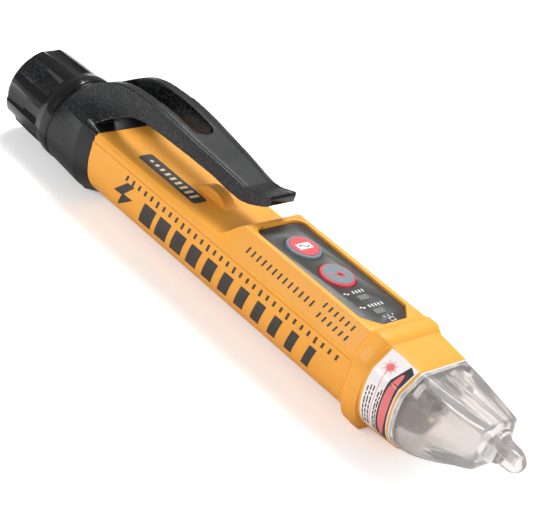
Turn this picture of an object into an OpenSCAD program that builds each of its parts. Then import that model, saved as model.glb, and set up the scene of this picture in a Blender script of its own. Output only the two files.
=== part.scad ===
/* [Housing] */
// Overall length from the cap's rear face to the probe nib's end
length = 180; // [180:0.5:184]
// Half the housing's width at its widest line
body_half_w = 13; // [13:0.1:13.4]
// Height of the plain rear deck above the resting plane
deck_z = 21.4; // [21.4:0.1:21.6]
// Height of the underside of the plain barrel above the resting plane
belly_z = 2.2; // [1.8:0.1:2.4]
// Wall of the moulded housing
wall = 1.8; // [1.6:0.1:1.9]
// Height of the parting line between the two housing halves
split_z = 19.2; // [18.8:0.1:19.6]

/* [Keypad] */
// Height of the dark keypad panel's face
keypad_z = 26.3; // [26.1:0.1:26.4]
// Half the width of the keypad panel
keypad_half_w = 8.2; // [7.8:0.1:8.3]
// Radius of the two push buttons
button_r = 4.7; // [4.3:0.1:4.7]
// Travel of the push buttons
button_travel = 0.4; // [0.3:0.05:0.45]

/* [Clip] */
// Half the width of the clip where it leaves the collar
clip_half_w = 7.2; // [6.6:0.1:7.4]
// Height of the clip's upper face at its highest place
clip_z = 35.6; // [35:0.1:36]

/* [Battery cap] */
// Length of the ribbed grip outside the housing
cap_len = 20; // [19.5:0.1:20.5]
// Radius of the cap's flange
flange_r = 12.4; // [12.1:0.1:12.5]
// Number of grip recesses around the cap
recesses = 8; // [6:1:10]

/* [Hidden] */
$fn = 96;
hull_fn = 32;
gap = 0.05;                     // slip between parts that sit inside each other
mid = length / 2;               // the frame's origin is under the middle of the length
cap_axis_z = 12.6;              // height of the cap's axis
edge_z = 20.6;                  // height of the long edge beside the deck
collar_end = 38;                // front end of the black collar
ridge_start = 135.3;            // rear edge of the raised ring in front of the keypad
ridge_end = 141;
nose_end = 150.7;               // front edge of the orange nose
platform_start = 86;            // foot of the ramp up to the keypad
platform_top = 91.5;
platform_z = 26.9;
cone_end = 171;                 // front of the clear cone, behind the nib
nib_z = 18.4;
mouth_r = 10.6;                 // bore that takes the battery cap's plug
mouth_end = 27.4;
seam_x = 48;                    // where the clip's arm meets its root
slot_rear = 31;                 // centres of the clip slot's round ends
slot_front = 59.3;
slot_half_w = 4.3;
post_x = [84, 131];             // posts that carry the circuit board
post_y = 7.5;
post_r = 1.6;
cell_r = 5.1;
cell_y = 5.16;
cell_z = 12.8;
cell_start = 27.6;
cell_len = 44.5;
board_z = 17.6;                 // underside of the circuit board
board_t = 1.2;
board_top = board_z + board_t;
power_x = 102.3;
laser_x = 114.4;
led_x = [123.4, 129];           // the two range indicators
eps = 0.01;

// A cross-section in the YZ plane: flat top, bevelled edges, round belly with a flat keel.
// top_w and top_z place the deck's edge, side_w and side_z the widest line, low_z the keel.
function belly(w, c, h, n, steps) = [for (i = [0 : steps]) let (t = 68 * i / steps)
    [w * pow(cos(t), 2 / n), c - h * pow(sin(t), 2 / n)]];
function half_section(top_w, top_z, edge_w, e_z, side_w, side_z, low_z, n) = concat(
    [[top_w, top_z], [edge_w, e_z]], belly(side_w, side_z, side_z - low_z, n, 12),
    [[side_w * 0.38, low_z]]);
function mirrored(p) = [for (i = [len(p) - 1 : -1 : 0]) [-p[i][0], p[i][1]]];
function section(top_w, top_z, edge_w, e_z, side_w, side_z, low_z, n = 2.4) =
    let (h = half_section(top_w, top_z, edge_w, e_z, side_w, side_z, low_z, n)) concat(h, mirrored(h));
// The barrel's section, drawn inset all round by d
function barrel(d = 0) = section(body_half_w - 1.1 - d * 0.9, deck_z - d, body_half_w - 0.3 - d,
    edge_z - d * 0.7, body_half_w - d, 18, belly_z + d);
function ridge(d = 0) = section(9.5 - d * 0.6, 27.6 - d, 13.7 - d, 21.9 - d * 0.4, 14.2 - d, 19.2,
    max(d, 0));
function nose_rear(d = 0) = section(8.5 - d * 0.6, 26.7 - d, 13.2 - d, 21.9 - d * 0.4, 13.7 - d, 19.6,
    2.4 + d, 2.2);
function nose_front(d = 0) = section(8.05 - d * 0.6, 25.8 - d, 13 - d, 21.5 - d * 0.4, 13.4 - d, 19.4,
    3 + d, 2.2);

// Extrudes a YZ outline along X from x0 to x1, in the object's own frame
module along_x(x0, x1, outline) {
    translate([x0 - mid, 0, 0]) rotate([90, 0, 90]) linear_extrude(x1 - x0) polygon(outline);
}
module slice_x(x, outline) {
    along_x(x, x + eps, outline);
}
// A round bar along X between x0 and x1
module bar_x(x0, x1, r, y, z) {
    translate([x0 - mid, y, z]) rotate([0, 90, 0]) cylinder(r = r, h = x1 - x0);
}
module block(x0, x1, y0, y1, z0, z1) {
    translate([x0 - mid, y0, z0]) cube([x1 - x0, y1 - y0, z1 - z0]);
}
// Extrudes an XZ outline along Y from -y to y
module across_y(y, outline) {
    translate([-mid, y, 0]) rotate([90, 0, 0]) linear_extrude(2 * y) polygon(outline);
}

module nose_solid(d = 0, x0 = 140.6, x1 = nose_end) {
    hull() {
        slice_x(x0, nose_rear(d));
        slice_x(x1 - eps, nose_front(d));
    }
}
module platform_solid(d = 0) {
    foot = body_half_w - 0.9 - d;
    rim = 9.7 - d * 0.6;
    hull() {
        slice_x(platform_start + d, [[-foot, split_z], [-foot + 1, deck_z - d],
            [foot - 1, deck_z - d], [foot, split_z]]);
        along_x(platform_top + d, ridge_start + 1, [[-foot, split_z - d],
            [-foot - 0.4, edge_z - d * 0.7], [-rim, platform_z - d], [rim, platform_z - d],
            [foot + 0.4, edge_z - d * 0.7], [foot, split_z - d]]);
    }
}
module housing_outer() {
    along_x(mouth_end + 0.1, collar_end + 0.1, barrel(0.95));
    along_x(collar_end, ridge_start + 1, barrel());
    platform_solid();
    hull() {
        slice_x(ridge_start, ridge(1.2));
        along_x(ridge_start + 1.2, ridge_end - 1.6, ridge());
        slice_x(ridge_end - eps, ridge(1));
    }
    nose_solid();
}
module housing_inner() {
    along_x(mouth_end - 1, nose_end - 12, barrel(wall));
    platform_solid(wall);
    nose_solid(wall, 132, nose_end + 1);
}
module keypad_outline(grow = 0) {
    w = keypad_half_w + grow;
    back = 92.4 - grow;
    front = 134 + grow;
    translate([-mid, 0]) {
        polygon([[back + 3, -w], [front - 4, -w], [front, -w + 4], [front, w - 4], [front - 4, w],
            [back + 3, w], [back, w - 3], [back, -w + 3]]);
        for (s = [-1, 1]) translate([back + 3, s * (w - 3)]) circle(r = 3);
    }
}
module panel_holes() {
    for (x = [power_x, laser_x]) translate([x - mid, 0, 20]) cylinder(r = button_r + 0.15, h = 10);
    for (x = led_x) block(x - 0.95, x + 0.95, -1.65, 1.65, 20, 30);
}
module at_posts() {
    for (x = post_x, y = [-post_y, post_y]) translate([x - mid, y, 0]) children();
}
module upper_housing() {
    color("orange") {
        difference() {
            intersection() {
                difference() {
                    housing_outer();
                    housing_inner();
                }
                block(0, length, -20, 20, split_z, 40);
            }
            translate([0, 0, keypad_z - 0.6]) linear_extrude(4) keypad_outline(0.1);
            panel_holes();
        }
        // the stop under the clip's arm
        across_y(2.2, [[66, deck_z - 0.5], [67, deck_z + 1], [69, deck_z + 2.2], [71.5, deck_z + 2.6],
            [74.5, deck_z + 2.3], [76.6, deck_z + 1.1], [77.8, deck_z - 0.5]]);
    }
}
module lower_housing() {
    color("orange") {
        intersection() {
            difference() {
                housing_outer();
                housing_inner();
            }
            block(0, length, -20, 20, -1, split_z);
        }
        at_posts() {
            translate([0, 0, 6]) cylinder(r = post_r, h = board_z - 6);
            translate([0, 0, 6]) cylinder(r = post_r / 2, h = board_top + 0.3 - 6);
        }
    }
}

module collar_outer() {
    crease = section(11.6, 22.4, 13.2, 21.2, 13.5, 17, 0);
    hull() {
        bar_x(cap_len + 0.3, cap_len + 1.5, 12.3, 0, cap_axis_z, $fn = 64);
        slice_x(32.5, crease);
    }
    hull() {
        slice_x(32.5, crease);
        slice_x(collar_end - eps, barrel(-0.12));
    }
    // the shoulder rises from the ring to the clip
    hull() {
        along_x(21.8, 33.6, [[-10.6, 19.5], [10.6, 19.5], [10.6, 22.2], [-10.6, 22.2]]);
        along_x(27.4, 33.6, [[-clip_half_w, 28], [clip_half_w, 28], [clip_half_w, 29], [-clip_half_w, 29]]);
    }
}
// Side view of the arch that carries the clip
arch = [[20.6, 20], [20.6, 21.8], [22.8, 24.7], [26.4, 28.4], [30.7, 31.8], [34.1, 33.8],
    [37.8, clip_z - 0.6], [43.3, clip_z - 0.1], [seam_x, clip_z], [seam_x, 29.8], [45.4, 29.2],
    [43.2, 28.6], [40.1, 26.7], [37.9, 25.1], [35.2, 22.9], [33.8, 21.6], [33, 20]];
// Plan of the long slot through the clip, wider at the collar
module clip_slot() {
    translate([-mid, 0, 22]) linear_extrude(20) {
        polygon([[slot_rear, -slot_half_w], [slot_front, -slot_half_w + 0.8],
            [slot_front, slot_half_w - 0.8], [slot_rear, slot_half_w]]);
        translate([slot_rear, 0]) circle(r = slot_half_w);
        translate([slot_front, 0]) circle(r = slot_half_w - 0.8);
    }
}
module clip_collar() {
    color("dimgray") difference() {
        union() {
            collar_outer();
            across_y(clip_half_w, arch);
        }
        clip_slot();
        bar_x(0, mouth_end + eps, mouth_r, 0, cap_axis_z);
        along_x(mouth_end, collar_end + 1, barrel(0.9));
    }
}
// Side view of the springing arm, with its turned-up end
arm = [[seam_x + gap, clip_z], [53, clip_z - 0.1], [58, clip_z - 0.5], [65, clip_z - 1.3], [73, clip_z - 2],
    [79, clip_z - 2.7], [83, clip_z - 3.2], [86, clip_z - 2.9], [88.6, clip_z - 2], [91.2, clip_z - 1.1],
    [91.6, clip_z - 1.7], [91.6, clip_z - 3.1], [91, clip_z - 3.7], [88, clip_z - 5.3], [85, clip_z - 6.6],
    [81.5, clip_z - 7], [78, clip_z - 6.8], [73, clip_z - 5.9], [65, clip_z - 5.5], [56, clip_z - 5.5],
    [seam_x + gap, clip_z - 5.9]];
module pocket_clip() {
    plan = [[seam_x, clip_half_w], [58, clip_half_w - 0.2], [66, clip_half_w - 0.6],
        [73, clip_half_w - 1.2], [80, clip_half_w - 1.9], [86, clip_half_w - 2.1],
        [90.6, clip_half_w - 2.1], [91.8, clip_half_w - 2.9]];
    color("dimgray") difference() {
        intersection() {
            across_y(clip_half_w + 1, arm);
            translate([-mid, 0, 20]) linear_extrude(20)
                polygon(concat(plan, [for (i = [len(plan) - 1 : -1 : 0]) [plan[i][0], -plan[i][1]]]));
        }
        clip_slot();
    }
}

module keypad_panel() {
    color("darkslategray") difference() {
        translate([0, 0, keypad_z - 0.6]) linear_extrude(0.6) keypad_outline();
        panel_holes();
    }
}
// A push button: a disc held under the panel by a skirt, with a stem over its switch
module push_button(x) {
    translate([x - mid, 0, 0]) {
        translate([0, 0, 23.9]) cylinder(r = button_r, h = keypad_z + 0.5 - 23.9);
        translate([0, 0, 22.8 + button_travel + 0.1]) cylinder(r = 1.5, h = 1.5);
    }
}
module button_face(x, r) {
    translate([x - mid, 0, keypad_z + 0.5]) cylinder(r = r, h = 0.15);
}
module power_button() {
    color("slategray") push_button(power_x);
}
module power_button_face() {
    color("crimson") button_face(power_x, button_r - 0.9);
}
module laser_button() {
    color("crimson") push_button(laser_x);
}
module laser_button_face() {
    color("slategray") button_face(laser_x, button_r - 0.7);
}
module indicator_light_pipes() {
    color("gray") for (x = led_x)
        block(x - 0.95 + gap, x + 0.95 - gap, -1.6, 1.6, 20.2, keypad_z + 0.05);
}
module indicator_leds() {
    color("white") for (x = led_x) block(x - 0.8, x + 0.8, -0.8, 0.8, board_top, board_top + 0.8);
}
module tact_switch(x) {
    block(x - 3, x + 3, -3, 3, board_top, board_top + 3);
    translate([x - mid, 0, board_top + 3]) cylinder(r = 1.7, h = 0.9);
}
module power_switch() {
    color("black") tact_switch(power_x);
}
module laser_switch() {
    color("black") tact_switch(laser_x);
}
module circuit_board() {
    color("green") difference() {
        union() {
            block(78, 136, -9.5, 9.5, board_z, board_top);
            block(136, 150, -8, 8, board_z, board_top);
        }
        at_posts() translate([0, 0, board_z - 1]) cylinder(r = post_r / 2 + 0.05, h = 4);
    }
}
module controller_chips() {
    color("black") {
        block(91.2, 98.4, -4, 4, board_top, board_top + 1.4);
        block(120, 126, 3.5, 7.5, board_top, board_top + 1.2);
        block(104, 112, -3, 3, board_z - 1.4, board_z);
        for (y = [-7, 7]) block(91, 94, y - 1, y + 1, board_top, board_top + 1);
    }
}
module beeper() {
    color("black") translate([92 - mid, 0, board_z - 4]) cylinder(r = 5, h = 4);
}
module laser_module() {
    color("gold") difference() {
        bar_x(140, 152, 2.6, 3.6, 12.4);
        bar_x(150.5, 152 + eps, 1.6, 3.6, 12.4);
    }
}
module laser_lens() {
    color("lightcyan") bar_x(150.5, 151.3, 1.6, 3.6, 12.4);
}
// A round light-emitting diode pointing forwards: rim, body and dome
module round_led(x, y, z, r) {
    bar_x(x, x + 1, r + 0.3, y, z);
    bar_x(x + 1, x + 5, r, y, z);
    translate([x + 5 - mid, y, z]) sphere(r = r);
}
module work_light() {
    color("white") round_led(151, -5, 19.4, 2.4);
}
module signal_light() {
    color("red") round_led(151, 4.4, 20.2, 1.5);
}
module antenna_strip() {
    color("silver") block(150, 176.8, -0.2, 0.2, 17.7, 19.5);
}

cone_rear = nose_front(0.15);
module rounded_end(x, half, r) {
    for (y = [-1, 1], z = [-1, 1])
        bar_x(x, x + eps, r, y * (half - r), nib_z - 0.1 + z * (half + 0.2 - r), $fn = hull_fn);
}
module clear_tip() {
    color("lightgray") difference() {
        union() {
            along_x(nose_end - 3, nose_end + 0.4, nose_front(wall + 0.3));
            hull() {
                slice_x(nose_end + 0.4, cone_rear);
                rounded_end(cone_end - eps, 6, 2.4);
            }
            bar_x(cone_end - 1, cone_end + 1.4, 3.6, 0, nib_z);
            intersection() {
                across_y(1.4, [[cone_end - 1, nib_z - 4.4], [cone_end + 1.4, nib_z - 4.2],
                    [cone_end + 3, nib_z - 3.1], [length - 2.9, nib_z - 2.9],
                    [length - 0.9, nib_z - 2.1], [length, nib_z - 0.8], [length, nib_z + 0.8],
                    [length - 0.9, nib_z + 2.1], [length - 2.9, nib_z + 2.9],
                    [cone_end + 3, nib_z + 3.1], [cone_end + 1.4, nib_z + 4.2],
                    [cone_end - 1, nib_z + 4.4]]);
                block(160, length, -1.4, 1.4, 0, 40);
            }
        }
        along_x(nose_end - 3 - eps, nose_end + 0.6, nose_front(wall + 1.5));
        hull() {
            slice_x(nose_end + 0.5, nose_front(wall + 1.5));
            rounded_end(cone_end - 1.8, 4.4, 1.5);
        }
        block(160, 178, -0.6, 0.6, nib_z - 0.9, nib_z + 1.3);
    }
}
module tip_gasket() {
    color("white") difference() {
        along_x(nose_end + gap, nose_end + 0.4 - gap / 2, nose_front(0.1));
        along_x(nose_end, nose_end + 0.5, nose_front(wall + 0.28));
    }
}
module nose_label() {
    color("white") intersection() {
        difference() {
            nose_solid(-0.12);
            nose_solid(-0.01);
        }
        block(141.5, 150.3, -20, -6.5, 4.5, 26.2);
    }
}
module deck_badge() {
    color("black") block(50, 72.5, -8.6, -3.8, deck_z + 0.005, deck_z + 0.1);
}

module battery_bulkhead() {
    color("black") difference() {
        along_x(72.7, 74.7, barrel(wall + 0.1));
        block(70, 76, -3, 3, split_z - 1, 30);
    }
}
module front_contacts() {
    color("silver") for (y = [-cell_y, cell_y])
        block(72.15, 72.65, y - 3.5, y + 3.5, cell_z - 3.5, cell_z + 3.5);
}
// One AAA cell; flip turns its positive stud to the rear
module cell(y, flip) {
    stud = 1.2;
    bar_x(cell_start + (flip ? stud : 0), cell_start + cell_len - (flip ? 0 : stud), cell_r, y, cell_z);
    if (flip) bar_x(cell_start, cell_start + stud + eps, 1.9, y, cell_z);
    else bar_x(cell_start + cell_len - stud - eps, cell_start + cell_len, 1.9, y, cell_z);
}
module left_cell() {
    color("goldenrod") cell(-cell_y, false);
}
module right_cell() {
    color("goldenrod") cell(cell_y, true);
}

module battery_cap() {
    color("black") difference() {
        union() {
            translate([-mid, 0, cap_axis_z]) rotate([0, 90, 0]) rotate_extrude() polygon([[0, 0], [10.4, 0],
                [11.5, 1.1], [11.9, 16.4], [flange_r, 17], [flange_r, cap_len - 0.5],
                [flange_r - 0.5, cap_len], [10.2, cap_len], [10.2, cap_len + 6.2], [0, cap_len + 6.2]]);
            for (x = [23.3, 24.5, 25.6]) bar_x(x, x + 0.5, mouth_r - 0.08, 0, cap_axis_z);
        }
        bar_x(2, cap_len + 7, 8.7, 0, cap_axis_z);
        translate([cap_len + 0.8 - mid, 0, cap_axis_z]) rotate([0, 90, 0]) difference() {
            cylinder(r = mouth_r + 1, h = 1.3);
            translate([0, 0, -1]) cylinder(r = 9.45, h = 4);
        }
        for (i = [0 : recesses - 1]) translate([-mid, 0, cap_axis_z]) rotate([360 / recesses * i, 0, 0])
            translate([-1, -2.9, 10.6]) cube([15.8, 5.8, 4]);
    }
    color("black") difference() {
        bar_x(2 - eps, 22.4, 2.2, 0, cap_axis_z);
        bar_x(18, 23, 1, 0, cap_axis_z);
    }
}
module cap_o_ring() {
    color("darkred") translate([cap_len + 1.45 - mid, 0, cap_axis_z]) rotate([0, 90, 0])
        rotate_extrude() translate([10.03, 0]) circle(r = 0.54, $fn = 32);
}
module contact_screw() {
    color("silver") difference() {
        union() {
            bar_x(18.05, 24, 0.98, 0, cap_axis_z);
            bar_x(23.75, 25, 1.9, 0, cap_axis_z);
        }
        block(24.5, 26, -2.5, 2.5, cap_axis_z - 0.25, cap_axis_z + 0.25);
    }
}
module cap_contact_plate() {
    color("silver") difference() {
        bar_x(22.45, 23.7, 8.5, 0, cap_axis_z);
        bar_x(22, 24, 1.05, 0, cap_axis_z);
    }
}
// Points of a coil spring's rings: a wire of radius w wound n turns on radius r along X
function coil_ring(a, r, w, pitch, sides) = [for (k = [0 : sides - 1])
    let (b = 360 * k / sides, q = r + w * cos(b)) [a / 360 * pitch + w * sin(b), q * cos(a), q * sin(a)]];
module coil(r0, r1, w, turns, pitch) {
    sides = 8;
    rings = turns * 16;
    points = [for (i = [0 : rings])
        each coil_ring(i * 22.5, r0 + (r1 - r0) * i / rings, w, pitch, sides)];
    faces = concat([[for (k = [0 : sides - 1]) k]], [for (i = [0 : rings - 1], k = [0 : sides - 1])
        [i * sides + k, (i + 1) * sides + k, (i + 1) * sides + (k + 1) % sides,
            i * sides + (k + 1) % sides]],
        [[for (k = [sides - 1 : -1 : 0]) rings * sides + k]]);
    polyhedron(points, faces);
}
module cap_springs() {
    color("silver") for (y = [-cell_y, cell_y])
        translate([24.05 - mid, y, cell_z]) coil(2.9, 1.6, 0.3, 4, 0.8);
}

lower_housing();
upper_housing();
clip_collar();
pocket_clip();
keypad_panel();
power_button();
power_button_face();
laser_button();
laser_button_face();
indicator_light_pipes();
indicator_leds();
power_switch();
laser_switch();
circuit_board();
controller_chips();
beeper();
laser_module();
laser_lens();
work_light();
signal_light();
antenna_strip();
clear_tip();
tip_gasket();
nose_label();
deck_badge();
battery_bulkhead();
front_contacts();
left_cell();
right_cell();
battery_cap();
cap_o_ring();
contact_screw();
cap_contact_plate();
cap_springs();
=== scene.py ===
"""Pen-shaped voltage tester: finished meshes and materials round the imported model.

Lengths in the shape functions are millimetres: x from the cap's rear face, y across, z above the
resting plane. place() turns them into the frame's metres.
"""
import math

import bmesh
import bpy
from mathutils import Euler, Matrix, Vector


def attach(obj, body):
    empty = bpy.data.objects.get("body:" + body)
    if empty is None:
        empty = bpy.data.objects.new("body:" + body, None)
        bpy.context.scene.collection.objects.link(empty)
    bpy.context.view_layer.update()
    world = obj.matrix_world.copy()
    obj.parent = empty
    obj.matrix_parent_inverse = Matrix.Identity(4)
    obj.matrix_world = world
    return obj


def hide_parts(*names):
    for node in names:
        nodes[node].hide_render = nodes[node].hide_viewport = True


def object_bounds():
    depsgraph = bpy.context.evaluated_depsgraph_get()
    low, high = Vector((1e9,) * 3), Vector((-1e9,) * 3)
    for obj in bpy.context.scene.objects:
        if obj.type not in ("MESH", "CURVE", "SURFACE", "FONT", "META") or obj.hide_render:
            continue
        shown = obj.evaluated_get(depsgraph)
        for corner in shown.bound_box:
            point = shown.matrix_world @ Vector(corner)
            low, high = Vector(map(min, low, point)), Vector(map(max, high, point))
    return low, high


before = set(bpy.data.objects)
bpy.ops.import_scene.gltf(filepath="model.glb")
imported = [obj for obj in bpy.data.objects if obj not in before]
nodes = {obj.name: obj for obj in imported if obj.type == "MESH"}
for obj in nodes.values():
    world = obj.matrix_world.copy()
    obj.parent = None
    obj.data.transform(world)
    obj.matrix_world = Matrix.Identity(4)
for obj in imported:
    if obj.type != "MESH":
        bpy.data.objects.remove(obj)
cad_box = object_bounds()
scene = bpy.context.scene

MM = 0.001
REAR = cad_box[0].x

# ---------------------------------------------------------------- sizes, mm
SPLIT_Z = 19.2  # parting line of the two housing shells
DECK_Z = 21.4  # flat rear deck under the clip
EDGE_Z = 20.6  # lower edge of the upper shell's bevel
WALL = 1.8
SPIGOT_REAR = 27.5  # the housing's rear end, inside the collar
SPIGOT_TAPER = 31  # where its taper ends
COLLAR_END = 38.0
SPIGOT_FRONT = COLLAR_END - 0.6
BARREL_REAR = COLLAR_END - 0.5
RAMP = (84.6, 91.2)  # climb from the deck to the keypad's platform
PLATFORM_Z = 26.9
PANEL_Z = 26.3
PANEL_T = 0.6
PANEL_REAR = 92.4
PANEL_FRONT = 134.0
PANEL_HALF_W = 8.2
PANEL_R = 3  # rear corners of the keypad
PANEL_CUT = 4  # cut front corners of the keypad
PANEL_GAP = 0.12  # round the keypad in its recess
RIDGE = (135.3, 136.5, 139.4, 141.0)  # finger ridge: foot, crest from, crest to, foot
NOSE_END = 150.7
CONE_END = 171.0
CAP_LEN = 20.0
CAP_AXIS_Z = 12.6
TIP_AXIS_Z = 15.5  # about which the tip's outlines are resampled
TIP_COUNT = 128  # points round the tip
NIB_Z = 18.4
SEAM_X = 48.0  # between the arch and the springing arm
CLIP_Z = 35.6
CLIP_HALF_W = 7.2
POWER_X = 102.3
LASER_X = 114.4
BUTTON_R = 4.7
BUTTON_HOLE_R = BUTTON_R + 0.15
INDICATOR_X = (123.4, 129.0)
INDICATOR_HALF = (1.0, 1.65)  # half sizes of an indicator's hole, along and across
HOLE_Z = (20, 30)  # heights between which holes are cut through the keypad's platform


def place(x, y, z):
    return Vector((REAR + x * MM, y * MM, z * MM))


def lerp(a, b, t):
    return a + (b - a) * t


def smooth(t):
    t = max(0.0, min(1.0, t))
    return t * t * (3 - 2 * t)


def along(table, x):
    """Value at x of a list of (x, value or tuple of values) stations, straight between them."""
    for (x0, a), (x1, b) in zip(table, table[1:]):
        if x <= x1:
            t = max(0.0, (x - x0) / max(x1 - x0, 1e-9))
            if isinstance(a, tuple):
                return tuple(lerp(p, q, t) for p, q in zip(a, b))
            return lerp(a, b, t)
    return table[-1][1]


def refine(table, steps):
    """Stations set between those of a table of nested tuples, on Catmull-Rom curves through them."""
    def mix(values, t):
        if isinstance(values[0], tuple):
            return tuple(mix(group, t) for group in zip(*values))
        p, q, r, w = values
        square, cube = 2 * p - 5 * q + 4 * r - w, 3 * q - p - 3 * r + w
        return 0.5 * (2 * q + (r - p) * t + square * t * t + cube * t ** 3)
    out = []
    for i in range(len(table) - 1):
        group = [table[max(0, i - 1)], table[i], table[i + 1], table[min(len(table) - 1, i + 2)]]
        out += [mix(group, k / steps) for k in range(steps)]
    return out + [table[-1]]


# ---------------------------------------------------------------- mesh helpers
def new_object(name, data):
    obj = bpy.data.objects.new(name, data)
    scene.collection.objects.link(obj)
    return obj


def from_bmesh(name, bm):
    mesh = bpy.data.meshes.new(name)
    bmesh.ops.recalc_face_normals(bm, faces=bm.faces)
    bm.to_mesh(mesh)
    bm.free()
    return new_object(name, mesh)


def loft(name, rings, loop=False):
    """Skin over closed rings of equal length, with end caps; loop joins the last ring to the first."""
    bm = bmesh.new()
    rows = [[bm.verts.new(place(*p)) for p in ring] for ring in rings]
    count = len(rows[0])
    pairs = list(zip(rows, rows[1:])) + ([(rows[-1], rows[0])] if loop else [])
    for a, b in pairs:
        for i in range(count):
            j = (i + 1) % count
            bm.faces.new((a[i], a[j], b[j], b[i]))
    if not loop:
        bm.faces.new(rows[0])
        bm.faces.new(rows[-1])
    return from_bmesh(name, bm)


def prism(name, outline, axis, low, high):
    """Solid with the given outline, pushed from low to high along axis x, y or z."""
    slot_of = "xyz".index(axis)
    return loft(name, [[(*p[:slot_of], t, *p[slot_of:]) for p in outline] for t in (low, high)])


def circle(cx, cy, r, count=48, start=0.0, turn=360.0):
    steps = count if turn == 360.0 else count + 1
    return [(cx + r * math.cos(math.radians(start + turn * i / count)),
             cy + r * math.sin(math.radians(start + turn * i / count))) for i in range(steps)]


def settle(obj):
    """Replaces obj's mesh by what its modifiers make of it."""
    dg = bpy.context.evaluated_depsgraph_get()
    mesh = bpy.data.meshes.new_from_object(obj.evaluated_get(dg))
    obj.modifiers.clear()
    obj.data = mesh
    return obj


def combine(obj, other, operation):
    mod = obj.modifiers.new(operation, "BOOLEAN")
    mod.operation = operation
    mod.solver = "EXACT"
    mod.object = other
    settle(obj)
    bpy.data.objects.remove(other)
    return obj


def cut(obj, *others):
    for other in others:
        combine(obj, other, "DIFFERENCE")
    return obj


def join(obj, *others):
    for other in others:
        combine(obj, other, "UNION")
    return obj


def in_mm(point):
    """The inverse of place(): a point of the frame back in millimetres."""
    return (point - place(0, 0, 0)) / MM


def round_edges(obj, width, angle=28, segments=3, fine=None):
    """Rolls the edges sharper than angle. fine(a, b) gives an edge a share of width by its ends."""
    bm = bmesh.new()
    bm.from_mesh(obj.data)
    layer = bm.edges.layers.float.new("bevel_weight_edge")
    for e in bm.edges:
        if len(e.link_faces) == 2 and e.calc_face_angle(0) > math.radians(angle):
            share = 1.0
            if fine is not None:
                share = fine(*[in_mm(v.co) for v in e.verts])
            e[layer] = share
    bm.to_mesh(obj.data)
    bm.free()
    bevel = obj.modifiers.new("Bevel", "BEVEL")
    bevel.limit_method = "WEIGHT"
    bevel.width = width * MM
    bevel.segments = segments
    bevel.harden_normals = False
    bevel.use_clamp_overlap = True
    settle(obj)
    return obj


def shade(obj, angle=35):
    for p in obj.data.polygons:
        p.use_smooth = True
    obj.data.set_sharp_from_angle(angle=math.radians(angle))
    return obj


def melt(obj, voxel, smoothing):
    """Voxel remesh and relax, so that joined shapes flow into each other as in one moulding."""
    remesh = obj.modifiers.new("Remesh", "REMESH")
    remesh.mode = "VOXEL"
    remesh.voxel_size = voxel * MM
    relax = obj.modifiers.new("Smooth", "SMOOTH")
    relax.factor = 0.5
    relax.iterations = smoothing
    settle(obj)
    return obj


# ---------------------------------------------------------------- materials
class Shader:
    """A principled material with object-space texture nodes."""

    def __init__(self, name):
        self.material = bpy.data.materials.new(name)
        self.material.use_nodes = True
        self.tree = self.material.node_tree
        self.bsdf = self.tree.nodes["Principled BSDF"]
        self.coords = self.tree.nodes.new("ShaderNodeTexCoord")

    def put(self, **values):
        for key, value in values.items():
            self.bsdf.inputs[key.replace("_", " ")].default_value = value
        return self

    def noise(self, scale, detail=2.0, rough=0.5, stretch=None):
        node = self.tree.nodes.new("ShaderNodeTexNoise")
        node.inputs["Scale"].default_value = scale
        node.inputs["Detail"].default_value = detail
        node.inputs["Roughness"].default_value = rough
        source = self.coords.outputs["Object"]
        if stretch:
            mapping = self.tree.nodes.new("ShaderNodeMapping")
            mapping.inputs["Scale"].default_value = stretch
            self.tree.links.new(source, mapping.inputs["Vector"])
            source = mapping.outputs["Vector"]
        self.tree.links.new(source, node.inputs["Vector"])
        return node.outputs["Fac"]

    def ramp(self, source, stops):
        node = self.tree.nodes.new("ShaderNodeValToRGB")
        ramp = node.color_ramp
        ramp.elements[0].position, ramp.elements[0].color = stops[0][0], stops[0][1]
        ramp.elements[1].position, ramp.elements[1].color = stops[-1][0], stops[-1][1]
        for position, color in stops[1:-1]:
            ramp.elements.new(position).color = color
        self.tree.links.new(source, node.inputs["Fac"])
        return node.outputs["Color"]

    def vary(self, socket, source, low, high):
        node = self.tree.nodes.new("ShaderNodeMapRange")
        node.inputs["To Min"].default_value = low
        node.inputs["To Max"].default_value = high
        self.tree.links.new(source, node.inputs["Value"])
        self.tree.links.new(node.outputs["Result"], self.bsdf.inputs[socket])
        return self

    def color(self, source):
        self.tree.links.new(source, self.bsdf.inputs["Base Color"])
        return self

    def bump(self, *layers):
        """layers are (height source, strength, distance in mm), the broadest first."""
        last = None
        for source, strength, distance in layers:
            node = self.tree.nodes.new("ShaderNodeBump")
            node.inputs["Strength"].default_value = strength
            node.inputs["Distance"].default_value = distance * MM
            self.tree.links.new(source, node.inputs["Height"])
            if last is not None:
                self.tree.links.new(last, node.inputs["Normal"])
            last = node.outputs["Normal"]
        self.tree.links.new(last, self.bsdf.inputs["Normal"])
        return self


def rgb(r, g, b):
    """Linear colour from the everyday 0 to 255 scale."""
    def channel(c):
        c /= 255
        return c / 12.92 if c <= 0.04045 else ((c + 0.055) / 1.055) ** 2.4
    return channel(r), channel(g), channel(b), 1.0


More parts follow.
